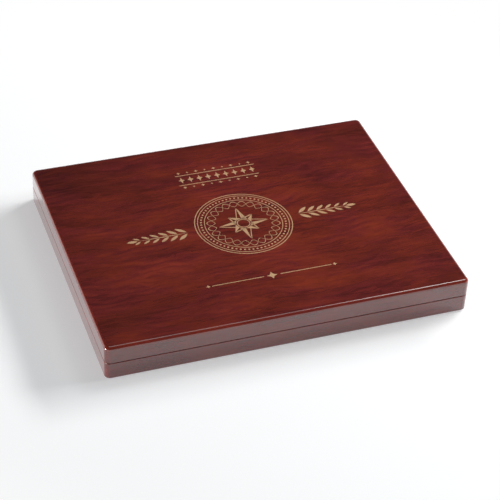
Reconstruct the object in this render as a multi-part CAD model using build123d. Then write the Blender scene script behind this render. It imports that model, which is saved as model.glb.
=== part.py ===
from build123d import *
import os
from math import cos, radians, sin

# Presentation case for coins in round capsules, in lacquered board, closed.
# Millimetres. +X runs along the long side, +Y towards the hinges and +Z up.
# The origin is the middle of the underside, on the surface that the case stands on.

# ---- case body ----
case_width = 305.0
case_depth = 245.0
wall = 10.0
corner_radius = 4.8
felt_thickness = 0.6
base_height = 14.85
lid_height = 15.25
parting_gap = 0.3
parting_edge_radius = 0.4
top_edge_radius = 3.0
bottom_edge_radius = 0.8
glue_clearance = 0.1

# ---- bottom panel, let into a rebate from below ----
bottom_panel_thickness = 4.0
rebate_width = 5.0

# ---- top panel, glued on the lid's four rails ----
top_panel_thickness = 4.2

# ---- felt under the base ----
felt_inset = 5.0

# ---- coin tray: a punched board on a backing sheet ----
tray_clearance = 0.5
tray_backing_thickness = 1.2
tray_board_thickness = 7.2
tray_corner_radius = 1.0
capsule_diameter = 34.0
capsule_clearance = 0.3
recess_edge_radius = 1.0
recess_pitch_x = 54.0
recess_pitch_y = 52.0
tray_border = 14.0

# ---- satin pad in the lid ----
pad_clearance = 0.6
pad_board_thickness = 1.5
pad_thickness = 4.5
pad_edge_radius = 2.0
pad_corner_radius = 3.0

# ---- stop hinges ----
hinge_inset = 57.5
hinge_length = 34.0
leaf_width = 8.6
leaf_thickness = 2.0
mortise_clearance = 0.1
axis_offset = 0.6
pin_radius = 1.0
pin_clearance = 0.05
pin_chamfer = 0.25
knuckle_gap = 0.2
barrel_clearance = 0.25
stop_rib_reach = 2.4
open_angle = 95.0
stop_clearance_angle = 1.0
knuckle_count = 5

# ---- hinge screws ----
screw_spacing = 22.0
screw_head_radius = 1.7
screw_shank_radius = 0.95
screw_length = 7.0
screw_clearance = 0.05
screw_recess_length = 2.0
screw_recess_width = 0.45
screw_recess_depth = 0.5

# ---- magnets in the front rails ----
magnet_radius = 3.0
magnet_thickness = 3.0
magnet_inset = 32.5
magnet_clearance = 0.05
magnet_set_back = 0.05

# ---- levels and widths that follow ----
base_bottom = felt_thickness
base_top = base_bottom + base_height
lid_bottom = base_top + parting_gap
lid_top = lid_bottom + lid_height
rail_top = lid_top - top_panel_thickness
parting_z = (base_top + lid_bottom) / 2
inner_width = case_width - 2 * wall
inner_depth = case_depth - 2 * wall
rear_face = case_depth / 2
axis_y = rear_face + axis_offset
knuckle_radius = leaf_thickness + parting_gap / 2
barrel_space = knuckle_radius + barrel_clearance
screw_y = axis_y - (barrel_space + leaf_width) / 2
hinge_spacing = case_width - 2 * hinge_inset
magnet_spacing = case_width - 2 * magnet_inset
rail_middle = case_depth / 2 - wall / 2
tray_width = inner_width - 2 * tray_clearance
tray_depth = inner_depth - 2 * tray_clearance
recess_radius = capsule_diameter / 2 + capsule_clearance
panel_top = base_bottom + bottom_panel_thickness
backing_top = panel_top + tray_backing_thickness
tray_top = backing_top + tray_board_thickness
pad_board_bottom = rail_top - pad_board_thickness
pad_bottom = pad_board_bottom - pad_thickness


# ---- helpers ----
def block(size_x, size_y, low, high, middle_x=0.0, middle_y=0.0):
    """An upright box from level low to level high."""
    return Pos(middle_x, middle_y, low) * Box(
        size_x, size_y, high - low, align=(Align.CENTER, Align.CENTER, Align.MIN)
    )


def slab(size_x, size_y, radius, low, high):
    """A plate with rounded upright corners."""
    outline = RectangleRounded(size_x, size_y, radius)
    return Pos(0, 0, low) * extrude(outline, high - low)


def disc(radius, low, high, middle_x=0.0, middle_y=0.0):
    """An upright cylinder from level low to level high."""
    return Pos(middle_x, middle_y, low) * Cylinder(
        radius, high - low, align=(Align.CENTER, Align.CENTER, Align.MIN)
    )


def rod(radius, length, middle_x):
    """A cylinder about the hinge axis."""
    return Pos(middle_x, axis_y, parting_z) * Rot(0, 90, 0) * Cylinder(radius, length)


def outer_edges(solid, level):
    """The edges of a plate's outline at one level, without those of its holes."""
    face = solid.faces().filter_by(Axis.Z).sort_by(lambda f: abs(f.center().Z - level))[0]
    return face.outer_wire().edges()


def across(spacing):
    """The two places of a pair that is set apart along X."""
    return (-spacing / 2, spacing / 2)


# ---- the four rails of a frame ----
def frame_ring(low, high):
    """The four walls of one half of the case before they are parted at the mitres."""
    ring = slab(case_width, case_depth, corner_radius, low, high)
    return ring - block(inner_width, inner_depth, low, high)


def mitre_prisms(low, high):
    """One prism for each side, parted from its neighbours along the mitres."""
    x, y = case_width / 2, case_depth / 2
    in_x, in_y = x - 2 * wall, y - 2 * wall
    corners = {
        "front": [(-x, -y), (x, -y), (in_x, -in_y), (-in_x, -in_y)],
        "rear": [(x, y), (-x, y), (-in_x, in_y), (in_x, in_y)],
        "left": [(-x, y), (-x, -y), (-in_x, -in_y), (-in_x, in_y)],
        "right": [(x, -y), (x, y), (in_x, in_y), (in_x, -in_y)],
    }
    return {
        side: Pos(0, 0, low) * extrude(make_face(Polyline(*points, close=True)), high - low)
        for side, points in corners.items()
    }


def part_rails(ring, low, high):
    """The ring as four mitred rails."""
    return {side: ring & prism for side, prism in mitre_prisms(low, high).items()}


# ---- base ----
def make_base_rails():
    """Rails of the base: rebated for the bottom panel, bored for magnets, mortised for hinges."""
    ring = frame_ring(base_bottom, base_top)
    ring = fillet(outer_edges(ring, base_top), parting_edge_radius)
    ring = fillet(outer_edges(ring, base_bottom), bottom_edge_radius)
    ring -= block(
        inner_width + 2 * rebate_width, inner_depth + 2 * rebate_width, base_bottom, panel_top
    )
    for x in across(magnet_spacing):
        floor = base_top - magnet_set_back - magnet_thickness
        ring -= disc(magnet_radius + magnet_clearance, floor, base_top, x, -rail_middle)
    for x in across(hinge_spacing):
        ring -= leaf_mortise(x, base_top - leaf_thickness, base_top)
        for screw_x in across(screw_spacing):
            tip = base_top - screw_length
            hole_radius = screw_shank_radius + screw_clearance
            ring -= disc(hole_radius, tip, base_top, x + screw_x, screw_y)
    return part_rails(ring, base_bottom, base_top)


def make_bottom_panel():
    """The panel that closes the base, flush with the underside of the rails."""
    width = inner_width + 2 * (rebate_width - glue_clearance)
    depth = inner_depth + 2 * (rebate_width - glue_clearance)
    return block(width, depth, base_bottom, panel_top)


def make_base_felt():
    """The felt sheet that the case stands on."""
    width = case_width - 2 * felt_inset
    depth = case_depth - 2 * felt_inset
    return slab(width, depth, corner_radius, 0, felt_thickness)


# ---- lid ----
def make_lid_rails():
    """Rails of the lid: bored for magnets and mortised for hinges."""
    ring = frame_ring(lid_bottom, rail_top)
    ring = fillet(outer_edges(ring, lid_bottom), parting_edge_radius)
    for x in across(magnet_spacing):
        ceiling = lid_bottom + magnet_set_back + magnet_thickness
        ring -= disc(magnet_radius + magnet_clearance, lid_bottom, ceiling, x, -rail_middle)
    for x in across(hinge_spacing):
        ring -= leaf_mortise(x, lid_bottom, lid_bottom + leaf_thickness)
        for screw_x in across(screw_spacing):
            tip = lid_bottom + screw_length
            hole_radius = screw_shank_radius + screw_clearance
            ring -= disc(hole_radius, lid_bottom, tip, x + screw_x, screw_y)
    return part_rails(ring, lid_bottom, rail_top)


def make_top_panel():
    """The lid's panel, with its upper edge rounded over."""
    panel = slab(case_width, case_depth, corner_radius, rail_top, lid_top)
    return fillet(outer_edges(panel, lid_top), top_edge_radius)


def make_pad_board():
    """The card that carries the satin pad."""
    width = inner_width - 2 * pad_clearance
    depth = inner_depth - 2 * pad_clearance
    return slab(width, depth, pad_corner_radius, pad_board_bottom, rail_top)


def make_pad():
    """The satin pad, as the plain outer form of its foam."""
    width = inner_width - 2 * pad_clearance
    depth = inner_depth - 2 * pad_clearance
    pad = slab(width, depth, pad_corner_radius, pad_bottom, pad_board_bottom)
    return fillet(outer_edges(pad, pad_bottom), pad_edge_radius)


# ---- coin tray ----
def recess_places():
    """The middles of the round recesses, as many as the tray has room for."""
    columns = int((tray_width - 2 * tray_border - 2 * recess_radius) // recess_pitch_x) + 1
    rows = int((tray_depth - 2 * tray_border - 2 * recess_radius) // recess_pitch_y) + 1
    first_x = -(columns - 1) * recess_pitch_x / 2
    first_y = -(rows - 1) * recess_pitch_y / 2
    return [
        (first_x + column * recess_pitch_x, first_y + row * recess_pitch_y)
        for row in range(rows)
        for column in range(columns)
    ]


def make_tray_board():
    """The punched board, its holes rounded over where the velour is drawn in."""
    board = slab(tray_width, tray_depth, tray_corner_radius, backing_top, tray_top)
    for x, y in recess_places():
        board -= disc(recess_radius, backing_top, tray_top, x, y)
    rims = board.edges().filter_by(GeomType.CIRCLE).filter_by_position(Axis.Z, tray_top, tray_top)
    rims = [edge for edge in rims if edge.radius > tray_corner_radius]
    return fillet(rims, recess_edge_radius)


def make_tray_backing():
    """The sheet under the board, which is the floor of every recess."""
    return slab(tray_width, tray_depth, tray_corner_radius, panel_top, backing_top)


# ---- hinges ----
def leaf_mortise(middle_x, low, high):
    """The pocket for one leaf, open to the rear."""
    length = hinge_length + 2 * mortise_clearance
    front = axis_y - leaf_width - mortise_clearance
    depth = rear_face + wall - front
    return block(length, depth, low, high, middle_x, front + depth / 2)


def knuckle_spans(own):
    """(middle, length) along X of every second knuckle, from the first or the second on."""
    pitch = hinge_length / knuckle_count
    first = -hinge_length / 2 + pitch / 2
    numbers = range(0 if own == "base" else 1, knuckle_count, 2)
    return [(first + number * pitch, pitch) for number in numbers]


def stop_rib():
    """The base leaf's rib behind the barrel: its upper face is what the lid's rib comes down to."""
    angle = radians((open_angle + stop_clearance_angle) / 2)
    outer = barrel_space + stop_rib_reach
    tip_y, tip_z = outer * cos(angle), -outer * sin(angle)
    foot = tip_z - leaf_thickness / 2
    outline = Polyline(
        (0, 0),
        (tip_y, tip_z),
        (tip_y, foot),
        (-axis_offset, foot),
        (-axis_offset, 0),
        close=True,
    )
    section = Plane(origin=(-hinge_length / 2, axis_y, parting_z), x_dir=(0, 1, 0), z_dir=(1, 0, 0))
    return extrude(section * make_face(outline), hinge_length)


def hinge_leaf(own):
    """One leaf about x = 0, in its place in the base: a plate, every second knuckle and a stop rib.
    The lid's leaf is this form turned over, with the other knuckles."""
    top = parting_z - parting_gap / 2
    plate = block(hinge_length, leaf_width, top - leaf_thickness, top, 0, axis_y - leaf_width / 2)
    form = plate + stop_rib()
    leaf = form - rod(barrel_space, hinge_length, 0)
    for middle, length in knuckle_spans(own):
        leaf += form & rod(barrel_space, length - knuckle_gap, middle)
        leaf += rod(knuckle_radius, length - knuckle_gap, middle)
    leaf -= rod(pin_radius + pin_clearance, hinge_length, 0)
    for x in across(screw_spacing):
        leaf -= screw_blank(x, screw_clearance)
    return leaf


def hinge_pin():
    """The pin through all the knuckles of one hinge."""
    pin = rod(pin_radius, hinge_length, 0)
    return chamfer(pin.edges().filter_by(GeomType.CIRCLE), pin_chamfer)


def screw_blank(x, growth=0.0):
    """A countersunk screw without its recess, pointing down into the base, or the space for one."""
    top = parting_z - parting_gap / 2
    head_radius = screw_head_radius + growth
    shank_radius = screw_shank_radius + growth
    head_height = head_radius - shank_radius
    head = Pos(x, screw_y, top - head_height) * Cone(
        shank_radius, head_radius, head_height, align=(Align.CENTER, Align.CENTER, Align.MIN)
    )
    return head + disc(shank_radius, top - screw_length, top - head_height, x, screw_y)


def hinge_screw(x):
    """One screw with its cross recess."""
    top = parting_z - parting_gap / 2
    screw = screw_blank(x)
    floor = top - screw_recess_depth
    screw -= block(screw_recess_length, screw_recess_width, floor, top, x, screw_y)
    return screw - block(screw_recess_width, screw_recess_length, floor, top, x, screw_y)


def turned_over(shape):
    """A base-side form turned over about the parting plane, for the lid."""
    return mirror(shape, about=Plane.XY.offset(parting_z))


def make_magnets():
    """The two round magnets in the base's front rail."""
    top = base_top - magnet_set_back
    bottom = top - magnet_thickness
    return [disc(magnet_radius, bottom, top, x, -rail_middle) for x in across(magnet_spacing)]


# ---- the whole case ----
def make_nodes():
    """Every separate piece by name; a list is a group of alike solids."""
    nodes = {}
    for side, rail in make_base_rails().items():
        nodes[f"base_{side}_rail"] = rail
    for side, rail in make_lid_rails().items():
        nodes[f"lid_{side}_rail"] = rail
    nodes["base_bottom_panel"] = make_bottom_panel()
    nodes["base_felt"] = make_base_felt()
    nodes["lid_top_panel"] = make_top_panel()
    nodes["lid_pad_board"] = make_pad_board()
    nodes["lid_satin_pad"] = make_pad()
    nodes["coin_tray_board"] = make_tray_board()
    nodes["coin_tray_backing"] = make_tray_backing()

    base_screws = []
    for side, x in zip(("left", "right"), across(hinge_spacing)):
        nodes[f"{side}_hinge_base_leaf"] = Pos(x, 0, 0) * hinge_leaf("base")
        nodes[f"{side}_hinge_lid_leaf"] = Pos(x, 0, 0) * turned_over(hinge_leaf("lid"))
        nodes[f"{side}_hinge_pin"] = Pos(x, 0, 0) * hinge_pin()
        base_screws += [Pos(x, 0, 0) * hinge_screw(screw_x) for screw_x in across(screw_spacing)]
    nodes["hinge_base_screws"] = base_screws
    nodes["hinge_lid_screws"] = [turned_over(screw) for screw in base_screws]

    base_magnets = make_magnets()
    nodes["base_magnets"] = base_magnets
    nodes["lid_magnets"] = [turned_over(magnet) for magnet in base_magnets]
    return nodes


def main():
    os.makedirs("parts", exist_ok=True)
    for name, shape in make_nodes().items():
        solids = shape if isinstance(shape, list) else shape.solids()
        node = solids[0] if len(solids) == 1 else Compound(children=solids)
        node.label = name
        export_step(node, f"parts/{name}.step")


main()
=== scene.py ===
"""Coin display case: a flat lacquered case with a hinged lid and a gold ornament, a velour tray for
coin capsules and a satin pad in the lid.

The file is laid out as an add-on: one operator models each piece or group of like pieces, and the
sizes and colours that a user would change are properties of the scene. Lengths are in metres, in
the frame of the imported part: +X along the long side, +Y towards the hinges, +Z up.
"""

import math

import bmesh
import bpy
from bpy.props import FloatProperty, FloatVectorProperty, IntProperty, PointerProperty
from mathutils import Matrix, Vector


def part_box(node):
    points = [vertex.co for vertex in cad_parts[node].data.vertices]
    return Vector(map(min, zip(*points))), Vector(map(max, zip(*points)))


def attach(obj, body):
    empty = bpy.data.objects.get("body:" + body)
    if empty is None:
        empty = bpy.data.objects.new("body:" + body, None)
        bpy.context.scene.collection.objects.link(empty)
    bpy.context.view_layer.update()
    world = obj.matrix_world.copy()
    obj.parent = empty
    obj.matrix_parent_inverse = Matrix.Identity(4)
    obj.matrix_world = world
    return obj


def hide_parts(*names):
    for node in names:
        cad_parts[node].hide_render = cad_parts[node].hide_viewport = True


bl_info = {
    "name": "Coin display case",
    "version": (1, 0, 0),
    "blender": (4, 5, 0),
    "location": "View3D > Sidebar > Coin case",
    "description": "Models a lacquered coin case with tray, satin pad, hinges and gold ornament",
    "category": "Add Mesh",
}

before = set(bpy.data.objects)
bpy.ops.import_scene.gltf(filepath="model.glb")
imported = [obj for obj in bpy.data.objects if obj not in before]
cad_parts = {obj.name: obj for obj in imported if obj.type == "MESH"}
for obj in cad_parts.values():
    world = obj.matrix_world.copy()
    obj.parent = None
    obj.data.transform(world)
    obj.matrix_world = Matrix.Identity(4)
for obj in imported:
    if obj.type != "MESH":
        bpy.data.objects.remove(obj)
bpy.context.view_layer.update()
MM = 0.001

HALVES = ("base", "lid")
OUTWARDS = {"front": (0, -1), "rear": (0, 1), "left": (-1, 0), "right": (1, 0)}

SAME_PLACE = 1e-6  # points closer than this are one point
FLAT_ANGLE = math.radians(0.5)  # faces that differ by less are one flat face
SMOOTH_ANGLE = math.radians(30)  # edges that turn by more stay sharp
CORNER_STEPS = 15  # an odd number, so that each mitre runs through the middle of a step
EDGE_STEPS = 4
TOP_EDGE_STEPS = 12
TURNED_STEPS = 72
RING_STEPS = 180
ROSETTE_STEPS = 240

LEAF_EDGE = 0.08 * MM
MAGNET_EDGE = 0.2 * MM
FOIL_SINK = 0.02 * MM  # how far the foil's underside lies in the lacquer

# a light cloth, cut a little too large, that pressure fills from behind
PAD_CLOTH = {
    "quality": 6,
    "mass": 0.15,
    "vertex_group_mass": "glued",
    "use_pressure": True,
    "uniform_pressure_force": 4.0,
    "shrink_min": -0.02,
    "tension_stiffness": 12,
    "bending_stiffness": 0.2,
}
PAD_FRAMES = 20

# name, place, width and height, radiance, and whether the lacquer mirrors the lamp
LAMPS = (
    ("key_strip", (1.76, 0.38, 0.93), (1.60, 0.30), 41.5, False),
    ("back_softbox", (0.74, 0.42, 1.26), (0.34, 0.50), 6.4, True),
    ("left_lamp", (-1.27, -0.12, 0.17), (0.50, 0.26), 9.0, False),
    ("left_glint", (-1.20, -0.12, 0.045), (0.60, 0.07), 54.0, True),
    ("rear_fill", (0.22, 0.50, 1.32), (0.60, 0.50), 1.4, True),
)
FLOOR_SIZE = 8.0
SENSOR_WIDTH = 36  # millimetres
FAR_CLIP = 20.0


def linear(text):
    """An sRGB hex colour as linear red, green, blue and alpha."""
    shares = [int(text[i : i + 2], 16) / 255 for i in (1, 3, 5)]
    return [s / 12.92 if s <= 0.04045 else ((s + 0.055) / 1.055) ** 2.4 for s in shares] + [1.0]


def shade_of(tint, share):
    """A darker or lighter shade of a linear colour."""
    return [min(1.0, part * share) for part in tint[:3]] + [1.0]


def length(name, description, default):
    """A length property, its default given in millimetres."""
    return FloatProperty(
        name=name, description=description, default=default * MM, min=0, unit="LENGTH", precision=5
    )


def angle(name, description, default):
    """An angle property, its default given in degrees."""
    return FloatProperty(
        name=name, description=description, default=math.radians(default), subtype="ANGLE"
    )


def colour(name, description, default):
    """A colour property, its default given as an sRGB hex value."""
    return FloatVectorProperty(
        name=name,
        description=description,
        default=linear(default),
        size=4,
        min=0,
        max=1,
        subtype="COLOR",
    )


# ---- properties ----
class CaseSizes(bpy.types.PropertyGroup):
    corner_radius: length("Corner radius", "Radius of the upright corners", 4.8)
    top_edge: length("Top edge", "Radius of the lid's upper edge", 3.0)
    parting_edge: length("Parting edge", "Radius of the edges beside the parting line", 0.6)
    bottom_edge: length("Bottom edge", "Radius of the lower edge of the base", 0.8)
    bore_clearance: length("Bore clearance", "Radial room round a magnet", 0.05)
    tray_rim: length("Tray rim", "Radius of the velour over the rims of the recesses", 1.2)
    recess_radius: length("Recess radius", "Radius of the recesses for the capsules", 17.3)
    recess_columns: IntProperty(name="Columns", description="Recesses along the case", default=5)
    recess_rows: IntProperty(name="Rows", description="Recesses across the case", default=4)
    recess_pitch_x: length("Pitch along", "Distance of the recesses along the long side", 54.0)
    recess_pitch_y: length("Pitch across", "Distance of the recesses along the short side", 52.0)
    pad_cell: length("Pad cell", "Size of the satin's mesh cells", 4.0)
    pad_rise: length("Pad rise", "How far the satin may swell out of its plain form", 3.0)


class PrintSizes(bpy.types.PropertyGroup):
    foil: length("Foil", "Height of the gold foil over the lacquer", 0.03)
    line: length("Line", "Width of the printed lines", 0.75)
    medallion: length("Medallion", "Outer radius of the medallion", 41.0)
    sprig: length("Sprig", "Length of each sprig beside the medallion", 50.0)
    band: length("Band", "Length of the upper band of lozenges", 72.0)
    rule: length("Rule", "Length of the lower rule", 102.0)
    band_place: length("Band place", "Distance of band and rule from the lid's middle", 72.0)


class FinishColours(bpy.types.PropertyGroup):
    wood_dark: colour("Dark grain", "Darkest streaks of the mahogany foil", "#4a1716")
    wood_mid: colour("Middle grain", "Ground colour of the mahogany foil", "#6f2620")
    wood_light: colour("Light grain", "Lightest streaks of the mahogany foil", "#8e3623")
    # painted highlight: the lighter, redder colour drawn over the rounded edges of the case
    wood_edge_highlight: colour("Edge highlight", "Lighter, redder colour drawn over the rounded edges as a painted highlight", "#9c3829")
    gold: colour("Gold foil", "Hot-stamped foil on the lid", "#ebc69c")
    velour: colour("Velour", "Pile of the tray", "#141b3e")
    satin: colour("Satin", "Lining of the lid", "#f8eed8")
    brass: colour("Brass", "Hinges and screws", "#d2ab62")
    nickel: colour("Nickel", "Plating of the magnets", "#b9b5ac")
    felt: colour("Felt", "Sheet under the base", "#1d1c1f")
    card: colour("Card", "Board that carries the satin pad", "#b5aa94")


class StudioSettings(bpy.types.PropertyGroup):
    camera_azimuth: angle("Azimuth", "Viewing direction, turned from +Y towards +X", 20.74)
    camera_elevation: angle("Elevation", "Height of the camera above the horizon", 37.94)
    camera_roll: angle("Roll", "Tilt of the camera about its own axis", 3.01)
    camera_place: FloatVectorProperty(
        name="Camera place",
        description="Where the camera stands",
        default=(-0.3993, -1.0729, 0.8954),
        subtype="XYZ",
        unit="LENGTH",
    )
    camera_lens: FloatProperty(
        name="Lens", description="Focal length on a 36 mm sensor", default=123.5, unit="CAMERA"
    )


# ---- modelling helpers ----
def clear_selection():
    """Object mode with nothing selected, so that the next operator acts on its own piece alone."""
    if bpy.context.object and bpy.context.object.mode != "OBJECT":
        bpy.ops.object.mode_set(mode="OBJECT")
    bpy.ops.object.select_all(action="DESELECT")


def take(piece):
    """Makes one piece the selected and active one, in object mode."""
    clear_selection()
    piece.select_set(True)
    bpy.context.view_layer.objects.active = piece


def edit_all(piece):
    """Opens one piece in edit mode, with all of it selected."""
    take(piece)
    bpy.ops.object.mode_set(mode="EDIT")
    bpy.ops.mesh.select_all(action="SELECT")


def extrude_up(height):
    """In edit mode, extrudes the selected faces straight up, or down by a negative height."""
    bpy.ops.mesh.extrude_region_move(TRANSFORM_OT_translate={"value": (0, 0, height)})


def face_outwards(piece):
    """Points all faces out of their closed solid."""
    edit_all(piece)
    bpy.ops.mesh.normals_make_consistent(inside=False)
    bpy.ops.object.mode_set(mode="OBJECT")


def apply_modifier(piece, kind, **settings):
    """Adds one modifier and applies it."""
    take(piece)
    bpy.ops.object.modifier_add(type=kind)
    modifier = piece.modifiers[-1]
    for key, value in settings.items():
        setattr(modifier, key, value)
    bpy.ops.object.modifier_apply(modifier=modifier.name)


def settle(scale=(1, 1, 1)):
    """Scales the primitive that was just added and applies its place and scale to its mesh."""
    piece = bpy.context.object
    piece.scale = scale
    take(piece)
    bpy.ops.object.transform_apply(location=True, rotation=True, scale=True)
    return piece


def smooth(piece):
    """Smooth shading that leaves large flat faces flat and real corners sharp."""
    take(piece)
    bpy.ops.object.shade_smooth_by_angle(angle=SMOOTH_ANGLE)
    apply_modifier(piece, "WEIGHTED_NORMAL", weight=100, keep_sharp=True)


def rounded_plate(low, high, corner, steps):
    """A plate with rounded upright corners between two corner points."""
    clear_selection()
    middle, size = (low + high) / 2, high - low
    bpy.ops.mesh.primitive_plane_add(size=1, location=(middle.x, middle.y, low.z))
    plate = settle((size.x, size.y, 1))
    edit_all(plate)
    bpy.ops.mesh.bevel(affect="VERTICES", offset=corner, segments=steps)
    bpy.ops.mesh.select_all(action="SELECT")
    extrude_up(size.z)
    face_outwards(plate)
    return plate


def round_level(plate, level, radius, steps):
    """Rounds every edge of a plate's outline at one level."""
    edit_all(plate)
    bpy.ops.mesh.select_mode(type="EDGE")
    bpy.ops.mesh.select_all(action="DESELECT")
    for edge in bmesh.from_edit_mesh(plate.data).edges:
        if all(abs(vertex.co.z - level) < SAME_PLACE for vertex in edge.verts):
            edge.select_set(True)
    bmesh.update_edit_mesh(plate.data)
    bpy.ops.mesh.bevel(offset=radius, segments=steps, clamp_overlap=False)
    bpy.ops.object.mode_set(mode="OBJECT")


def turned(rings, middle):
    """A closed turned solid with an upright axis, drawn up through rings of (radius, level)."""
    clear_selection()
    radius, level = rings[0]
    bpy.ops.mesh.primitive_circle_add(
        vertices=TURNED_STEPS, radius=radius, location=(*middle, level), fill_type="NGON"
    )
    piece = settle()
    edit_all(piece)
    for next_radius, next_level in rings[1:]:
        extrude_up(next_level - level)
        share = next_radius / radius
        bpy.ops.transform.resize(value=(share, share, 1), center_override=(*middle, next_level))
        radius, level = next_radius, next_level
    face_outwards(piece)
    return piece


def block(low, high):
    """A box between two corner points."""
    clear_selection()
    bpy.ops.mesh.primitive_cube_add(size=1, location=(low + high) / 2)
    return settle(high - low)


def cut_off(piece, place, normal):
    """Cuts away what lies on the side of a plane that its normal points to."""
    edit_all(piece)
    bpy.ops.mesh.bisect(plane_co=place, plane_no=normal, use_fill=True, clear_outer=True)


def copy_of(piece):
    """A copy with its own mesh."""
    take(piece)
    bpy.ops.object.duplicate()
    return bpy.context.object


def remove(piece):
    """Deletes a piece that isn't needed any more."""
    take(piece)
    bpy.ops.object.delete()


def join(pieces):
    """Joins several pieces into the first one."""
    take(pieces[0])
    for piece in pieces:
        piece.select_set(True)
    bpy.ops.object.join()
    return pieces[0]


def subtract(piece, cutter):
    """Cuts one closed mesh out of another, and deletes the cutter."""
    apply_modifier(piece, "BOOLEAN", operation="DIFFERENCE", object=cutter, solver="EXACT")
    remove(cutter)


def smoothed_copy(node, bevel=0.0):
    """A copy of a CAD node's loose triangles, merged, cleaned and smoothly shaded."""
    piece = copy_of(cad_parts[node])
    piece.parent = None
    for key in [key for key in piece.keys() if key.startswith("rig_")]:
        del piece[key]
    edit_all(piece)
    bpy.ops.mesh.remove_doubles(threshold=SAME_PLACE)
    bpy.ops.mesh.dissolve_limited(angle_limit=FLAT_ANGLE)
    bpy.ops.object.mode_set(mode="OBJECT")
    if bevel:
        apply_modifier(
            piece, "BEVEL", width=bevel, segments=2, limit_method="ANGLE", angle_limit=SMOOTH_ANGLE
        )
    smooth(piece)
    return piece


def dress(piece, draw):
    """Gives a piece the material that a function draws, and no other."""
    piece.data.materials.clear()
    piece.data.materials.append(material_of(draw))


def finish_piece(piece, name, body, draw, nodes=()):
    """Names a piece, gives it its material and sets it on its body."""
    piece.name = piece.data.name = name
    dress(piece, draw)
    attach(piece, body)
    if nodes:
        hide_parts(*nodes)


# ---- material helpers ----
def add(tree, kind, inputs=(), stops=(), **settings):
    """Adds one shader node. Each input is a value, another node's socket, or a node, which stands
    for its first output, and stops fill a ramp. A Mix node has its floats at inputs 2 and 3 and
    output 0, its vectors at 4, 5 and 1, and its colours at 6, 7 and 2. A VectorMath node has its
    single numbers at output 1."""
    node = tree.nodes.new("ShaderNode" + kind)
    for key, value in settings.items():
        setattr(node, key, value)
    for key, value in dict(inputs).items():
        if isinstance(value, bpy.types.Node):
            value = value.outputs[0]
        if isinstance(value, bpy.types.NodeSocket):
            tree.links.new(value, node.inputs[key])
        else:
            node.inputs[key].default_value = value
    for number, (position, tint) in enumerate(stops):
        ramp = node.color_ramp.elements
        element = ramp[number] if number < len(ramp) else ramp.new(position)
        element.position = position
        element.color = tint
    return node


def material_of(draw):
    """The material that a function draws, named after it and made the first time it is asked
    for. The function gets the node tree and the object's coordinates, and returns the shader."""
    material = bpy.data.materials.get(draw.__name__)
    if not material:
        material = bpy.data.materials.new(draw.__name__)
        material.use_nodes = True
        tree = material.node_tree
        tree.nodes.clear()
        surface = draw(tree, add(tree, "TexCoord").outputs["Object"])
        add(tree, "OutputMaterial", {"Surface": surface})
    return material


def scaled(tree, vector, x, y, z):
    """A vector in metres measured in cells of x by y by z millimetres."""
    cells = (1 / (x * MM), 1 / (y * MM), 1 / (z * MM))
    return add(tree, "VectorMath", {0: vector, 1: cells}, operation="MULTIPLY")


def grain_noise(tree, vector, along, across, detail, roughness=0.5):
    """Noise whose cells are so many millimetres long and wide, as a value about zero."""
    cells = scaled(tree, vector, along, across, across)
    look = {"Vector": cells, "Scale": 1.0, "Detail": detail, "Roughness": roughness}
    return add(tree, "Math", {0: add(tree, "TexNoise", look), 1: 0.5}, operation="SUBTRACT")


def weighted(tree, parts, start):
    """The sum of a start value and several nodes or sockets, each times its weight."""
    for part, weight in parts:
        start = add(tree, "Math", {0: part, 1: weight, 2: start}, operation="MULTIPLY_ADD")
    return start


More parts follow.
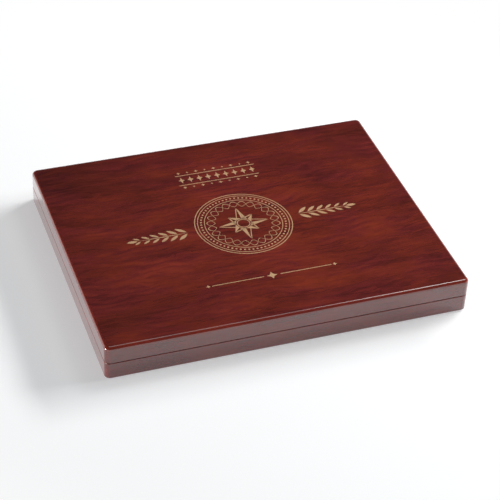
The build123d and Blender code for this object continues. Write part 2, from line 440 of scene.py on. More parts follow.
# ---- materials ----
def lacquered_mahogany(tree, places):
    """Printed mahogany foil on fibreboard under a thick, polished polyester lacquer: a smooth clear
    coat over wavy year rings cut lengthwise, short fibres, broad lighter figure and fine pores.
    Painted shade darkens the panel's far corners and the sides, and a painted highlight lightens
    the rounded edges."""
    colours = bpy.context.scene.case_colours
    # the foil runs round the case, so on the short sides the grain lies along Y
    facing = add(tree, "VectorMath", {0: places.node.outputs["Normal"]}, operation="ABSOLUTE")
    facing = add(tree, "SeparateXYZ", {0: facing}).outputs
    short_side = add(tree, "Math", {0: facing["X"], 1: 0.7}, operation="GREATER_THAN")
    place = add(tree, "SeparateXYZ", {0: places}).outputs
    swapped = add(tree, "CombineXYZ", {0: place["Y"], 1: place["X"], 2: place["Z"]})
    along = add(
        tree, "Mix", {"Factor": short_side, 4: places, 5: swapped}, data_type="VECTOR"
    ).outputs[1]

    # waves of a few millimetres across the grain, slow ones and short ones
    bent = along
    for cell, swing in ((75, 14.0), (20, 4.5)):
        cells = scaled(tree, bent, cell, cell / 2, cell / 2)
        wave = add(tree, "TexNoise", {"Vector": cells, "Scale": 1.0}).outputs["Color"]
        push = add(tree, "VectorMath", {0: wave, 1: (0.5, 0.5, 0.5)}, operation="SUBTRACT")
        bent = add(
            tree,
            "VectorMath",
            {0: push, 1: (0, swing * MM, swing * MM), 2: bent},
            operation="MULTIPLY_ADD",
        )
    figure = grain_noise(tree, bent, 60, 24, 2)
    streaks = grain_noise(tree, bent, 30, 4.5, 2)
    fibres = grain_noise(tree, bent, 11, 1.1, 3, 0.55)

    # year rings every 8 mm or so, cut lengthwise: parallel lines that swell and fade
    lie = add(tree, "SeparateXYZ", {0: scaled(tree, bent, 1, 8, 8)}).outputs
    lie = add(tree, "Math", {0: lie["Y"], 1: lie["Z"]}, operation="ADD")
    swerve = grain_noise(tree, along, 85, 34, 2)
    phase = weighted(tree, ((swerve, 5.0), (streaks, 0.9)), lie)
    turns = add(tree, "Math", {0: phase, 1: 2 * math.pi}, operation="MULTIPLY")
    rings = add(tree, "Math", {0: turns}, operation="SINE")
    fading = grain_noise(tree, bent, 48, 20, 1)
    fading = add(tree, "MapRange", {"Value": fading, "From Min": -0.12, "From Max": 0.18})
    rings = add(tree, "Math", {0: rings, 1: fading}, operation="MULTIPLY")

    # painted shade: the colour is drawn a little darker from the middle of the panel towards its
    # far corners, where less light falls
    spread = add(
        tree,
        "VectorMath",
        {0: places, 1: (6.0, 7.4, 0.0), 2: (-0.06, 0.22, 0.0)},
        operation="MULTIPLY_ADD",
    )
    away = add(tree, "VectorMath", {0: spread, 1: spread}, operation="DOT_PRODUCT").outputs[1]
    parts = ((figure, 0.36), (streaks, 0.20), (fibres, 0.25), (rings, 0.05), (away, -0.085))
    tone = weighted(tree, parts, 0.545)

    # the mouldings round the sides are drawn darker and plainer than the panel: the plainer grain
    # is the foil's pattern, and the darker tone is painted shade
    side = add(tree, "Math", {0: facing["X"], 1: facing["Y"]}, operation="MAXIMUM")
    plain = add(
        tree, "MapRange", {"Value": side, "From Min": 0.8, "From Max": 0.95, "To Max": 0.5}
    )
    tone = add(tree, "Mix", {"Factor": plain, 2: tone, 3: 0.43}, data_type="FLOAT")
    stops = ((0.30, colours.wood_dark), (0.50, colours.wood_mid), (0.68, colours.wood_light))
    wood = add(tree, "ValToRGB", {0: tone}, stops)

    # dark veins run where a slow noise crosses zero, and fade in and out along their length
    distance = add(tree, "Math", {0: grain_noise(tree, bent, 90, 7.0, 3)}, operation="ABSOLUTE")
    line = add(
        tree, "MapRange", {"Value": distance, "From Max": 0.03, "To Min": 0.45, "To Max": 0.0}
    )
    shown = add(tree, "MapRange", {"Value": figure, "From Min": 0.06, "From Max": -0.08})
    veins = add(tree, "Math", {0: line, 1: shown}, operation="MULTIPLY")
    pores = grain_noise(tree, bent, 4.0, 0.32, 1)
    pores = add(
        tree, "MapRange", {"Value": pores, "From Min": 0.13, "From Max": 0.22, "To Max": 0.30}
    )
    dark = add(tree, "Math", {0: veins, 1: pores}, operation="MAXIMUM")
    patterned = add(tree, "Math", {0: 1.0, 1: plain}, operation="SUBTRACT")
    dark = add(tree, "Math", {0: dark, 1: patterned}, operation="MULTIPLY")
    ground = add(
        tree, "Mix", {"Factor": dark, 6: wood, 7: linear("#340d0e")}, data_type="RGBA"
    ).outputs[2]

    # the print drifts between an orange and a crimson brown
    drift = grain_noise(tree, bent, 46, 20, 2)
    drift = add(tree, "MapRange", {"Value": drift, "From Min": -0.10, "From Max": 0.10})
    orange = add(tree, "VectorMath", {0: ground, 1: (1.03, 1.06, 0.86)}, operation="MULTIPLY")
    crimson = add(tree, "VectorMath", {0: ground, 1: (0.98, 0.95, 1.15)}, operation="MULTIPLY")
    drifted = add(
        tree, "Mix", {"Factor": drift, 6: orange, 7: crimson}, data_type="RGBA"
    ).outputs[2]

    # painted highlight: over the rounded edges, where they catch the light, the colour is drawn
    # lighter and redder
    level = add(tree, "Math", {0: facing["Z"], 1: facing["Z"]}, operation="MULTIPLY")
    slope = add(tree, "Math", {0: 1.0, 1: level}, operation="SUBTRACT")
    between = add(tree, "Math", {0: level, 1: slope}, operation="MULTIPLY")
    painted_edge_highlight = add(tree, "MapRange", {"Value": between, "From Max": 0.2, "To Max": 0.45})
    coloured = add(
        tree, "Mix", {"Factor": painted_edge_highlight, 6: drifted, 7: colours.wood_edge_highlight}, data_type="RGBA"
    ).outputs[2]
    return add(
        tree,
        "BsdfPrincipled",
        {
            "Base Color": coloured,
            "Roughness": 0.15,
            "IOR": 1.6,
            "Coat Weight": 1.0,
            "Coat Roughness": 0.05,
            "Coat IOR": 1.6,
        },
    )


def gold_foil(tree, places):
    """Hot-stamped metallised foil: a thin satin gold that scatters the light of the studio."""
    # the press leaves the foil a little uneven, in specks of half a millimetre
    cells = scaled(tree, places, 0.5, 0.5, 0.5)
    specks = add(tree, "TexNoise", {"Vector": cells, "Scale": 1.0})
    stops = ((0.35, linear("#c99a6c")), (0.60, bpy.context.scene.case_colours.gold))
    tint = add(tree, "ValToRGB", {0: specks}, stops)
    return add(tree, "BsdfPrincipled", {"Base Color": tint, "Metallic": 0.45, "Roughness": 0.5})


def velour(tree, places):
    """Short-pile velour, flocked and brushed: deep blue, with a pale sheen at glancing angles and
    soft patches where the pile leans another way."""
    base = bpy.context.scene.case_colours.velour
    cells = scaled(tree, places, 38, 30, 30)
    patches = add(
        tree, "TexNoise", {"Vector": cells, "Scale": 1.0, "Detail": 3.0, "Distortion": 0.6}
    )
    stops = ((0.38, shade_of(base, 0.62)), (0.62, shade_of(base, 1.5)))
    lean = add(tree, "ValToRGB", {0: patches}, stops)
    # single fibres are too fine to show, so the pile is drawn as tufts of 0.45 mm
    cells = scaled(tree, places, 0.45, 0.45, 0.45)
    pile = add(tree, "TexNoise", {"Vector": cells, "Scale": 1.0, "Detail": 2.0})
    tufts = add(
        tree,
        "MapRange",
        {"Value": pile, "From Min": 0.3, "From Max": 0.7, "To Min": 0.55, "To Max": 1.3},
    )
    shade = add(tree, "VectorMath", {0: lean, "Scale": tufts}, operation="SCALE")
    bump = add(tree, "Bump", {"Height": pile, "Distance": 0.25 * MM, "Strength": 0.8})
    return add(
        tree,
        "BsdfPrincipled",
        {
            "Base Color": shade,
            "Roughness": 0.95,
            "Specular IOR Level": 0.15,
            "Sheen Weight": 0.55,
            "Sheen Roughness": 0.35,
            "Sheen Tint": linear("#8d9cd8"),
            "Normal": bump,
        },
    )


def satin(tree, places):
    """Acetate satin: a warm cream weave whose long floats give a soft, stretched gloss."""
    cells = scaled(tree, places, 9, 0.35, 0.35)
    threads = add(tree, "TexNoise", {"Vector": cells, "Scale": 1.0, "Detail": 2.0})
    stops = ((0.3, linear("#ebddc0")), (0.7, bpy.context.scene.case_colours.satin))
    tint = add(tree, "ValToRGB", {0: threads}, stops)
    bump = add(tree, "Bump", {"Height": threads, "Distance": 0.05 * MM, "Strength": 0.5})
    return add(
        tree,
        "BsdfPrincipled",
        {
            "Base Color": tint,
            "Roughness": 0.36,
            "Anisotropic": 0.5,
            "Specular IOR Level": 0.6,
            "Sheen Weight": 0.3,
            "Normal": bump,
        },
    )


def polished_brass(tree, places):
    """Rolled brass, pressed, tumble-polished and lacquered: faint rolling lines in the gloss."""
    cells = scaled(tree, places, 6, 0.12, 0.12)
    lines = add(tree, "TexNoise", {"Vector": cells, "Scale": 1.0, "Detail": 2.0})
    stops = ((0.25, linear("#b98f4c")), (0.75, bpy.context.scene.case_colours.brass))
    tint = add(tree, "ValToRGB", {0: lines}, stops)
    gloss = add(
        tree,
        "MapRange",
        {"Value": lines, "From Min": 0.2, "From Max": 0.8, "To Min": 0.26, "To Max": 0.33},
    )
    return add(tree, "BsdfPrincipled", {"Base Color": tint, "Metallic": 1.0, "Roughness": gloss})


def nickel_plate(tree, places):
    """Nickel plate on a sintered magnet: a bright grey with a slightly pitted gloss."""
    base = tuple(bpy.context.scene.case_colours.nickel)
    cells = scaled(tree, places, 1.5, 1.5, 1.5)
    pits = add(tree, "TexNoise", {"Vector": cells, "Scale": 1.0, "Detail": 2.0})
    gloss = add(
        tree,
        "MapRange",
        {"Value": pits, "From Min": 0.3, "From Max": 0.7, "To Min": 0.24, "To Max": 0.30},
    )
    return add(tree, "BsdfPrincipled", {"Base Color": base, "Metallic": 1.0, "Roughness": gloss})


def wool_felt(tree, places):
    """Pressed wool felt, dyed dark: matt, with matted fibres a millimetre or two long."""
    base = bpy.context.scene.case_colours.felt
    cells = scaled(tree, places, 1.6, 0.5, 0.5)
    fibres = add(
        tree, "TexNoise", {"Vector": cells, "Scale": 1.0, "Detail": 4.0, "Distortion": 1.5}
    )
    stops = ((0.35, shade_of(base, 0.6)), (0.7, shade_of(base, 2.2)))
    tint = add(tree, "ValToRGB", {0: fibres}, stops)
    bump = add(tree, "Bump", {"Height": fibres, "Distance": 0.2 * MM})
    return add(
        tree,
        "BsdfPrincipled",
        {"Base Color": tint, "Roughness": 1.0, "Sheen Weight": 0.4, "Normal": bump},
    )


def grey_card(tree, places):
    """Pulp board: a matt buff grey with short fibres in it."""
    base = bpy.context.scene.case_colours.card
    cells = scaled(tree, places, 1.2, 0.6, 0.6)
    fibres = add(tree, "TexNoise", {"Vector": cells, "Scale": 1.0, "Detail": 4.0})
    tint = add(tree, "ValToRGB", {0: fibres}, ((0.3, shade_of(base, 0.8)), (0.7, base)))
    return add(tree, "BsdfPrincipled", {"Base Color": tint, "Roughness": 0.9})


def white_sweep(tree, places):
    """A white sweep over a light table: near the case it is matt, takes the shadow and glows a
    little through from below, which keeps the shadow pale, and further out it is plain white."""
    reach = add(tree, "VectorMath", {0: places}, operation="LENGTH").outputs[1]
    far = add(
        tree,
        "MapRange",
        {"Value": reach, "From Min": 0.26, "From Max": 0.46},
        interpolation_type="SMOOTHSTEP",
    )
    matt = add(tree, "BsdfDiffuse", {"Color": linear("#d8d8d8")})
    glow = add(tree, "Emission", {"Color": (0.97, 1, 1.02, 1), "Strength": 0.40})
    lit = add(tree, "AddShader", {0: matt, 1: glow})
    white = add(tree, "Emission", {"Color": (1, 1, 1, 1), "Strength": 1.0})
    path = add(tree, "LightPath").outputs
    seen = path["Is Camera Ray"]
    for other in ("Is Glossy Ray", "Is Transmission Ray"):
        seen = add(tree, "Math", {0: seen, 1: path[other]}, operation="MAXIMUM")
    share = add(tree, "Math", {0: seen, 1: far}, operation="MULTIPLY")
    return add(tree, "MixShader", {0: share, 1: lit, 2: white})


# ---- the case ----
def model_rails(half, low, high, edges):
    """The four mitred rails of the base or the lid, cut out of one plate with rounded edges."""
    plate = rounded_plate(low, high, bpy.context.scene.case_sizes.corner_radius, CORNER_STEPS)
    for level, radius in edges:
        round_level(plate, level, radius, EDGE_STEPS)
    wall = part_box(f"{half}_left_rail")[1].x - low.x
    corner = Vector((high.x, high.y, 0))
    rails = {}
    for side, direction in OUTWARDS.items():
        out = Vector((*direction, 0))
        across = Vector((-out.y, out.x, 0))
        outer = out * abs(out.dot(corner))
        rail = copy_of(plate)
        cut_off(rail, outer - out * wall, -out)
        for way in (-across, across):
            cut_off(rail, outer + way * abs(way.dot(corner)), way - out)
        face_outwards(rail)
        rails[side] = rail
    remove(plate)
    return rails


def bore_for_magnets(rail, magnets):
    """Bores the seats of the two magnets into a front rail."""
    low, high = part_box(magnets)
    middle, radius = (low + high) / 2, (high.y - low.y) / 2
    room = bpy.context.scene.case_sizes.bore_clearance
    for x in (low.x + radius, high.x - radius):
        clear_selection()
        bpy.ops.mesh.primitive_cylinder_add(
            vertices=48,
            radius=radius + room,
            depth=high.z - low.z + 2 * room,
            location=(x, middle.y, middle.z),
        )
        subtract(rail, settle())


def mortise_for_leaves(rail, half):
    """Cuts the pockets for the two hinge leaves into a rear rail, open to the rear."""
    depth, room, past_rear, past_face = 2 * MM, 0.1 * MM, 1 * MM, 0.02 * MM
    rail_low, rail_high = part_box(f"{half}_rear_rail")
    if half == "base":
        bottom, top = rail_high.z - depth, rail_high.z + past_face
    else:
        bottom, top = rail_low.z - past_face, rail_low.z + depth
    for side in ("left", "right"):
        low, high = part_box(f"{side}_hinge_{half}_leaf")
        pocket_low = Vector((low.x - room, low.y - room, bottom))
        pocket_high = Vector((high.x + room, rail_high.y + past_rear, top))
        subtract(rail, block(pocket_low, pocket_high))


class CASE_OT_rails(bpy.types.Operator):
    """Models the eight mitred rails of base and lid, with their magnet bores and hinge mortises"""

    bl_idname = "coin_case.rails"
    bl_label = "Rails"

    def execute(self, context):
        sizes = context.scene.case_sizes
        low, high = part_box("lid_top_panel")
        for half in HALVES:
            rail_low, rail_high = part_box(f"{half}_front_rail")
            bottom, top = rail_low.z, rail_high.z
            if half == "base":
                edges = ((top, sizes.parting_edge), (bottom, sizes.bottom_edge))
            else:
                edges = ((bottom, sizes.parting_edge),)
            corners = Vector((low.x, low.y, bottom)), Vector((high.x, high.y, top))
            rails = model_rails(half, *corners, edges)
            bore_for_magnets(rails["front"], f"{half}_magnets")
            mortise_for_leaves(rails["rear"], half)
            for side, rail in rails.items():
                smooth(rail)
                node = f"{half}_{side}_rail"
                name = node + "_lacquered"
                finish_piece(rail, name, half, lacquered_mahogany, [node])
        return {"FINISHED"}


class CASE_OT_top_panel(bpy.types.Operator):
    """Models the lid's panel with its rounded upper edge"""

    bl_idname = "coin_case.top_panel"
    bl_label = "Top panel"

    def execute(self, context):
        sizes = context.scene.case_sizes
        node = "lid_top_panel"
        low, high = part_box(node)
        panel = rounded_plate(low, high, sizes.corner_radius, CORNER_STEPS)
        round_level(panel, high.z, sizes.top_edge, TOP_EDGE_STEPS)
        smooth(panel)
        name = node + "_lacquered"
        finish_piece(panel, name, "lid", lacquered_mahogany, [node])
        return {"FINISHED"}


class CASE_OT_boards(bpy.types.Operator):
    """Finishes the boards that lie inside the case as the CAD part has them"""

    bl_idname = "coin_case.boards"
    bl_label = "Inner boards"

    def execute(self, context):
        dress(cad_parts["base_bottom_panel"], lacquered_mahogany)
        dress(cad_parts["coin_tray_backing"], velour)
        dress(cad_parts["lid_pad_board"], grey_card)
        return {"FINISHED"}


class CASE_OT_felt(bpy.types.Operator):
    """Models the felt sheet under the base"""

    bl_idname = "coin_case.felt"
    bl_label = "Felt"

    def execute(self, context):
        low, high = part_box("base_felt")
        sheet = rounded_plate(low, high, context.scene.case_sizes.corner_radius, steps=8)
        smooth(sheet)
        finish_piece(sheet, "felt_sheet", "base", wool_felt, ["base_felt"])
        return {"FINISHED"}


class CASE_OT_tray(bpy.types.Operator):
    """Models the velour-covered board with its round recesses"""

    bl_idname = "coin_case.tray"
    bl_label = "Coin tray"

    def execute(self, context):
        sizes = context.scene.case_sizes
        low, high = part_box("coin_tray_board")
        rim, radius = sizes.tray_rim, sizes.recess_radius
        pitch = Vector((sizes.recess_pitch_x, sizes.recess_pitch_y, 0))
        columns, rows = sizes.recess_columns, sizes.recess_rows
        board = rounded_plate(low, high, corner=1.6 * MM, steps=4)
        round_level(board, high.z, rim, steps=5)
        # the top is cut into one cell per recess, so that no face has more than one hole
        for count, axis in ((columns, Vector((1, 0, 0))), (rows, Vector((0, 1, 0)))):
            for number in range(1, count):
                place = axis * (number - count / 2) * pitch.dot(axis)
                edit_all(board)
                bpy.ops.mesh.bisect(plane_co=place, plane_no=axis)
        # each cutter widens towards the top, so the velour rolls over the rim of its recess
        past = 1 * MM
        rings = [(radius, low.z - past)]
        for turn in (math.radians(15 * step) for step in range(7)):
            rings.append((radius + rim * (1 - math.cos(turn)), high.z - rim * (1 - math.sin(turn))))
        rings.append((radius + rim, high.z + past))
        for column in range(columns):
            for row in range(rows):
                x = (column - (columns - 1) / 2) * pitch.x
                y = (row - (rows - 1) / 2) * pitch.y
                subtract(board, turned(rings, (x, y)))
        apply_modifier(board, "TRIANGULATE", min_vertices=5)
        smooth(board)
        finish_piece(board, "velour_tray", "base", velour, ["coin_tray_board"])
        return {"FINISHED"}


class CASE_OT_satin_pad(bpy.types.Operator):
    """Models the satin pad of the lid, swollen by a short cloth simulation"""

    bl_idname = "coin_case.satin_pad"
    bl_label = "Satin pad"

    def execute(self, context):
        sizes = context.scene.case_sizes
        low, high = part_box("lid_satin_pad")
        inset = Vector((0.6 * MM, 0.6 * MM, 0))
        low, high = low + inset, high - inset
        middle, size = (low + high) / 2, high - low
        clear_selection()
        bpy.ops.mesh.primitive_grid_add(
            x_subdivisions=round(size.x / sizes.pad_cell),
            y_subdivisions=round(size.y / sizes.pad_cell),
            size=1,
            location=(middle.x, middle.y, high.z),
        )
        pad = settle((size.x, size.y, 1))
        edit_all(pad)
        extrude_up(-size.z)
        face_outwards(pad)
        swell(pad, high.z, sizes.pad_rise)
        apply_modifier(pad, "SUBSURF", levels=1, render_levels=1)
        smooth(pad)
        finish_piece(pad, "satin_pad", "lid", satin, ["lid_satin_pad"])
        return {"FINISHED"}


def swell(pad, board_level, rise):
    """Blows up the cloth of a pad whose back is glued to its board, by no more than a set rise."""
    scene = bpy.context.scene
    vertices = pad.data.vertices
    start = [vertex.co.copy() for vertex in vertices]
    back = [vertex.index for vertex in vertices if abs(vertex.co.z - board_level) < SAME_PLACE]
    pad.vertex_groups.new(name=PAD_CLOTH["vertex_group_mass"]).add(back, 1.0, "REPLACE")
    take(pad)
    bpy.ops.object.modifier_add(type="CLOTH")
    cloth = pad.modifiers[-1]
    for key, value in PAD_CLOTH.items():
        setattr(cloth.settings, key, value)
    cloth.settings.effector_weights.gravity = 0.0
    for number in range(1, PAD_FRAMES + 1):
        scene.frame_set(number)
    bpy.ops.object.modifier_apply(modifier=cloth.name)
    scene.frame_set(1)
    for vertex, was in zip(pad.data.vertices, start):
        moved = vertex.co - was
        if moved.length > rise:
            vertex.co = was + moved * (rise / moved.length)
    pad.vertex_groups.clear()


class CASE_OT_hinges(bpy.types.Operator):
    """Finishes the two stop hinges, with their pins and screws, as polished brass"""

    bl_idname = "coin_case.hinges"
    bl_label = "Hinges"

    def execute(self, context):
        for side in ("left", "right"):
            for half in HALVES:
                node = f"{side}_hinge_{half}_leaf"
                leaf = smoothed_copy(node, LEAF_EDGE)
                finish_piece(leaf, node + "_brass", half, polished_brass, [node])
            node = f"{side}_hinge_pin"
            pin = smoothed_copy(node)
            finish_piece(pin, node + "_brass", "base", polished_brass, [node])
        for half in HALVES:
            node = f"hinge_{half}_screws"
            screws = smoothed_copy(node)
            finish_piece(screws, node + "_brass", half, polished_brass, [node])
        return {"FINISHED"}


class CASE_OT_magnets(bpy.types.Operator):
    """Finishes the four magnets as nickel-plated discs"""

    bl_idname = "coin_case.magnets"
    bl_label = "Magnets"

    def execute(self, context):
        for half in HALVES:
            node = f"{half}_magnets"
            magnets = smoothed_copy(node, MAGNET_EDGE)
            finish_piece(magnets, node + "_nickel", half, nickel_plate, [node])
        return {"FINISHED"}


# ---- the gold ornament ----
def print_level():
    """The level at which the foil's underside lies, just inside the lacquer."""
    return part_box("lid_top_panel")[1].z - FOIL_SINK


def raise_foil(piece):
    """Gives a flat, filled outline the foil's thickness, as a closed solid."""
    edit_all(piece)
    extrude_up(bpy.context.scene.case_print.foil + FOIL_SINK)
    face_outwards(piece)
    return piece


def printed_ring(radius, width, petals=0, swing=0.0):
    """A line round the lid's middle; with petals its radius swings in and out that many times."""
    outer, inner = radius + width / 2, radius - width / 2
    middle = (0, 0, print_level())
    clear_selection()
    bpy.ops.mesh.primitive_circle_add(
        vertices=ROSETTE_STEPS if petals else RING_STEPS,
        radius=outer,
        location=middle,
        fill_type="NOTHING",
    )
    ring = settle()
    edit_all(ring)
    bpy.ops.mesh.extrude_edges_move(TRANSFORM_OT_translate={"value": (0, 0, 0)})
    bpy.ops.transform.resize(value=(inner / outer, inner / outer, 1), center_override=middle)
    bpy.ops.object.mode_set(mode="OBJECT")
    if petals:
        for vertex in ring.data.vertices:
            x, y = vertex.co.xy
            grow = 1 + swing / radius * math.cos(petals * math.atan2(y, x))
            vertex.co.x, vertex.co.y = x * grow, y * grow
    return raise_foil(ring)


def printed_shape(points):
    """A filled outline through a few points."""
    clear_selection()
    bpy.ops.mesh.primitive_circle_add(vertices=len(points), radius=1, fill_type="NGON")
    shape = bpy.context.object
    for vertex, (x, y) in zip(shape.data.vertices, points):
        vertex.co = (x, y, print_level())
    return raise_foil(shape)


def repeat_round(piece, count):
    """Copies a piece round the lid's middle, as many times in all, evenly spaced."""
    edit_all(piece)
    bpy.ops.mesh.spin(
        steps=count - 1,
        dupli=True,
        angle=2 * math.pi * (count - 1) / count,
        center=(0, 0, 0),
        axis=(0, 0, 1),
    )
    face_outwards(piece)
    return piece


def lens(start, end, width, steps=6):
    """The outline of a pointed leaf from start to end."""
    fullness = 0.85
    start, end = Vector(start), Vector(end)
    along = end - start
    side = Vector((-along.y, along.x)).normalized() * width / 2
    bulge = [(t / steps, math.sin(math.pi * t / steps) ** fullness) for t in range(steps + 1)]
    upper = [start + along * share + side * out for share, out in bulge]
    lower = [start + along * share - side * out for share, out in reversed(bulge[1:-1])]
    return upper + lower


def lozenge(x, y, width, height):
    """The outline of a lozenge with hollow sides."""
    hollow = 0.62
    corners = [(1, 0), (0, 1), (-1, 0), (0, -1)]
    points = []
    for (a, b), (c, d) in zip(corners, corners[1:] + corners[:1]):
        points.append((x + a * width / 2, y + b * height / 2))
        points.append((x + (a + c) * hollow * width / 4, y + (b + d) * hollow * height / 4))
    return points


def bar(x0, x1, y, width):
    """The outline of a straight rule."""
    return [(x0, y - width / 2), (x1, y - width / 2), (x1, y + width / 2), (x0, y + width / 2)]


class CASE_OT_medallion(bpy.types.Operator):
    """Models the printed medallion: a beaded double rim, a rosette and an eight-pointed star"""

    bl_idname = "coin_case.medallion"
    bl_label = "Medallion"

    def execute(self, context):
        sizes = context.scene.case_print
        # every radius inside the medallion is a share of its outer one
        radius, line = sizes.medallion, sizes.line
        thin, rosette, swing = line * 0.8, radius * 0.665, radius * 0.085
        pieces = [
            printed_ring(radius, line),
            printed_ring(radius * 0.94, thin),
            printed_ring(radius * 0.80, thin),
            printed_ring(rosette, thin, petals=12, swing=swing),
            printed_ring(rosette, thin, petals=12, swing=-swing),
            printed_ring(radius * 0.13, line),
        ]
        clear_selection()
        place = (radius * 0.87, 0, print_level())
        bpy.ops.mesh.primitive_circle_add(
            vertices=10, radius=radius * 0.021, location=place, fill_type="NGON"
        )
        pieces.append(repeat_round(raise_foil(settle()), 64))
        # each ray has a filled half and, across a fine gap, one that is drawn as an outline
        gap, notch = line * 0.35, radius * 0.17
        elbow = radius * 0.16875 * math.sin(math.pi / 4)
        for reach, turn in ((0.53, 0.0), (0.36, math.pi / 4)):
            tip = radius * reach
            filled = [(gap, notch), (elbow, elbow), (gap, tip)]
            outline = [
                (-elbow, elbow),
                (-gap, tip),
                (-gap, tip - 3.6 * line),
                (-elbow + 1.1 * line, elbow),
            ]
            for half in [printed_shape(filled), printed_shape(outline)]:
                edit_all(half)
                bpy.ops.transform.rotate(value=turn, orient_axis="Z", center_override=(0, 0, 0))
                pieces.append(repeat_round(half, 4))
        finish_piece(join(pieces), "gold_medallion", "lid", gold_foil)
        return {"FINISHED"}


class CASE_OT_sprigs(bpy.types.Operator):
    """Models the two printed sprigs of leaves beside the medallion"""

    bl_idname = "coin_case.sprigs"
    bl_label = "Sprigs"

    def execute(self, context):
        sizes = context.scene.case_print
        pairs = 6
        first = sizes.medallion + 7 * MM
        tail = first + sizes.sprig * 0.8
        foot_x, foot_y = 1.5 * MM, 1.0 * MM
        for side, name in ((-1, "gold_sprig_left"), (1, "gold_sprig_right")):
            pieces = []
            for pair in range(pairs):
                # towards the tail the leaves grow shorter and lie flatter
                share = pair / (pairs - 1)
                x = first + share * (tail - first) + foot_x
                leaf, lean = (11.0 - 4.5 * share) * MM, math.radians(38 - 8 * share)
                tip_x, tip_y = x + leaf * math.cos(lean), foot_y + leaf * math.sin(lean)
                for up in (-1, 1):
                    start, end = (side * x, up * foot_y), (side * tip_x, up * tip_y)
                    pieces.append(printed_shape(lens(start, end, leaf * 0.29)))
            end_leaf = lens((side * (tail + 4 * MM), 0), (side * (tail + 13 * MM), 0), 3.2 * MM)
            pieces.append(printed_shape(end_leaf))
            stem = lens((side * first, 0), (side * (tail + 5 * MM), 0), sizes.line * 1.2, steps=10)
            pieces.append(printed_shape(stem))
            finish_piece(join(pieces), name, "lid", gold_foil)
        return {"FINISHED"}


class CASE_OT_bands(bpy.types.Operator):
    """Models the printed band of lozenges between two rules, and the single rule opposite"""

    bl_idname = "coin_case.bands"
    bl_label = "Bands"

    def execute(self, context):
        sizes = context.scene.case_print
        line, place, count = sizes.line, sizes.band_place, 9
        half, rule_y, small_y = sizes.band / 2, 7 * MM, 10.6 * MM
        pieces = [printed_shape(bar(-half, half, place + y, line)) for y in (-rule_y, rule_y)]
        for number in range(count):
            x = (number - (count - 1) / 2) * sizes.band / count
            pieces.append(printed_shape(lozenge(x, place, 5.4 * MM, 8.6 * MM)))
            small = 2.4 * MM if number % 2 else 3.6 * MM
            for y in (-small_y, small_y):
                pieces.append(printed_shape(lozenge(x, place + y, small, small)))
        finish_piece(join(pieces), "gold_band", "lid", gold_foil)

        start, end = 7 * MM, sizes.rule / 2
        pieces = [printed_shape(bar(side * start, side * end, -place, line)) for side in (-1, 1)]
        for x, size in ((0, 9 * MM), (-end - 3 * MM, 4 * MM), (end + 3 * MM, 4 * MM)):
            pieces.append(printed_shape(lozenge(x, -place, size, size)))
        finish_piece(join(pieces), "gold_rule", "lid", gold_foil)
        return {"FINISHED"}


# ---- the studio ----
def light_world():
    """A dim, even studio with a white band along the horizon, where the sweep goes on."""
    world = bpy.data.worlds.new("studio")
    world.use_nodes = True
    tree = world.node_tree
    tree.nodes.clear()
    height = add(tree, "SeparateXYZ", {0: add(tree, "TexCoord").outputs["Generated"]}).outputs["Z"]
    band = add(
        tree,
        "MapRange",
        {"Value": height, "From Min": 0.10, "From Max": 0.36, "To Min": 1.0, "To Max": 0.025},
        interpolation_type="SMOOTHSTEP",
    )
    background = add(tree, "Background", {"Color": (1, 1, 1, 1), "Strength": band})
    add(tree, "OutputWorld", {"Surface": background})
    bpy.context.scene.world = world


def area_lamp(name, place, size, radiance, mirrored):
    """A soft lamp that looks at the case and shines with a given radiance. One that isn't mirrored
    works as if polarised: the lacquer takes its light, but shows no glare of it in the flat lid."""
    clear_selection()
    turn = (-Vector(place)).to_track_quat("-Z", "Y").to_euler()
    bpy.ops.object.light_add(type="AREA", location=place, rotation=turn)
    lamp = bpy.context.object
    lamp.name = name
    lamp.data.shape = "RECTANGLE"
    lamp.data.size, lamp.data.size_y = size
    lamp.data.energy = radiance * math.pi * size[0] * size[1]
    lamp.visible_camera = False
    lamp.visible_glossy = mirrored


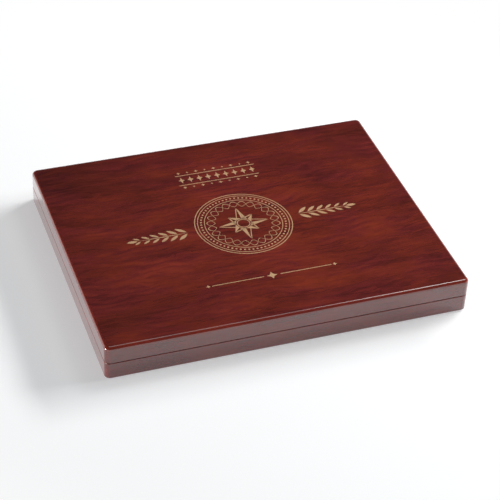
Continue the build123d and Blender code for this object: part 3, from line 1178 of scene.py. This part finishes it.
class CASE_OT_stage(bpy.types.Operator):
    """Sets up the floor, the soft lamps, the world and the camera"""

    bl_idname = "coin_case.stage"
    bl_label = "Stage"

    def execute(self, context):
        studio = context.scene.case_studio
        clear_selection()
        bpy.ops.mesh.primitive_plane_add(size=FLOOR_SIZE, location=(0, 0, 0))
        floor = context.object
        floor.name = "floor"
        dress(floor, white_sweep)
        light_world()
        for lamp in LAMPS:
            area_lamp(*lamp)
        turn = (
            Matrix.Rotation(-studio.camera_azimuth, 3, "Z")
            @ Matrix.Rotation(math.pi / 2 - studio.camera_elevation, 3, "X")
            @ Matrix.Rotation(studio.camera_roll, 3, "Z")
        )
        bpy.ops.object.camera_add(location=studio.camera_place, rotation=turn.to_euler())
        camera = context.object
        camera.data.sensor_width = SENSOR_WIDTH
        camera.data.lens = studio.camera_lens
        camera.data.clip_end = FAR_CLIP
        context.scene.camera = camera
        context.scene.view_settings.view_transform = "Standard"
        return {"FINISHED"}


class CASE_PT_panel(bpy.types.Panel):
    """Lists the operators in the 3D view's sidebar"""

    bl_idname = "CASE_PT_panel"
    bl_label = "Coin case"
    bl_space_type = "VIEW_3D"
    bl_region_type = "UI"
    bl_category = "Coin case"

    def draw(self, context):
        for operator in OPERATORS:
            self.layout.operator(operator.bl_idname)


OPERATORS = (
    CASE_OT_rails,
    CASE_OT_top_panel,
    CASE_OT_boards,
    CASE_OT_felt,
    CASE_OT_tray,
    CASE_OT_satin_pad,
    CASE_OT_hinges,
    CASE_OT_magnets,
    CASE_OT_medallion,
    CASE_OT_sprigs,
    CASE_OT_bands,
    CASE_OT_stage,
)
GROUPS = {
    "case_sizes": CaseSizes,
    "case_print": PrintSizes,
    "case_colours": FinishColours,
    "case_studio": StudioSettings,
}


def register():
    """Adds the classes, and the properties to the scene."""
    for cls in (*GROUPS.values(), *OPERATORS, CASE_PT_panel):
        bpy.utils.register_class(cls)
    for name, group in GROUPS.items():
        setattr(bpy.types.Scene, name, PointerProperty(type=group))


def unregister():
    """Takes the properties and the classes away again."""
    for name in GROUPS:
        delattr(bpy.types.Scene, name)
    for cls in (CASE_PT_panel, *reversed(OPERATORS), *GROUPS.values()):
        bpy.utils.unregister_class(cls)


def main():
    """Registers the add-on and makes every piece."""
    register()
    bpy.ops.coin_case.rails()
    bpy.ops.coin_case.top_panel()
    bpy.ops.coin_case.boards()
    bpy.ops.coin_case.felt()
    bpy.ops.coin_case.tray()
    bpy.ops.coin_case.satin_pad()
    bpy.ops.coin_case.hinges()
    bpy.ops.coin_case.magnets()
    bpy.ops.coin_case.medallion()
    bpy.ops.coin_case.sprigs()
    bpy.ops.coin_case.bands()
    bpy.ops.coin_case.stage()


if __name__ == "__main__":
    main()
